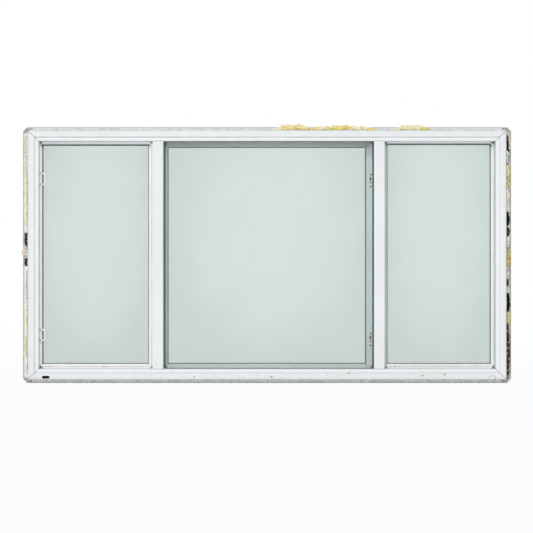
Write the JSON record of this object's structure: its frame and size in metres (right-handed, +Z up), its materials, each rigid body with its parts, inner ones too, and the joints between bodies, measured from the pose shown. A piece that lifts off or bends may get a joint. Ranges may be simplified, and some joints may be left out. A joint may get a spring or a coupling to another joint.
{
  "type": "sliding window",
  "caption": "Three-light horizontal sliding window in a white plastic frame with a flange, looped pulls and catch plates.",
  "frame": {"origin": "on the flat back of the flange, at the middle of the bottom edge of the frame's face", "axes": "+X along the sill, to the right as seen from outside; +Y from the outside towards the room; +Z up"},
  "size_m": [2.0494, 0.1118, 1.0887],
  "materials": {
    "frame": "weathered white extrusion, satin",
    "sash": "weathered white extrusion, satin",
    "bead": "white extrusion, satin",
    "glass": "clear float glass with a green cast",
    "spacer": "mill finish",
    "gasket": "matt dark grey",
    "pull": "white moulding",
    "catch": "grey-white paint on steel",
    "roller": "grey nylon",
    "foam": "aged yellow mounting foam"
  },
  "bodies": {
    "root": {"head": "frame", "sill": "frame", "left_jamb": "frame", "right_jamb": "frame", "left_mullion": "frame", "right_mullion": "frame", "left_sash_top_rail": "sash", "left_sash_bottom_rail": "sash", "left_sash_left_stile": "sash", "left_sash_right_stile": "sash", "right_sash_top_rail": "sash", "right_sash_bottom_rail": "sash", "right_sash_left_stile": "sash", "right_sash_right_stile": "sash", "inner_sash_top_rail": "sash", "inner_sash_bottom_rail": "sash", "inner_sash_left_stile": "sash", "inner_sash_right_stile": "sash", "centre_bead_top": "bead", "centre_bead_bottom": "bead", "centre_bead_left": "bead", "centre_bead_right": "bead", "centre_glass": "glass", "left_sash_glass": "glass", "right_sash_glass": "glass", "inner_sash_glass": "glass", "centre_spacer": "spacer", "left_sash_spacer": "spacer", "right_sash_spacer": "spacer", "centre_gasket": "gasket", "left_sash_gasket": "gasket", "right_sash_gasket": "gasket", "inner_sash_gasket": "gasket", "upper_pull": "pull", "lower_pull": "pull", "weep_cover": "pull", "drain_ring": "pull", "upper_catch": "catch", "lower_catch": "catch", "left_sash_rollers": "roller", "inner_sash_rollers": "roller", "setting_blocks": "roller", "foam_head": "foam", "foam_left": "foam", "foam_right": "foam"}
  },
  "joints": []
}
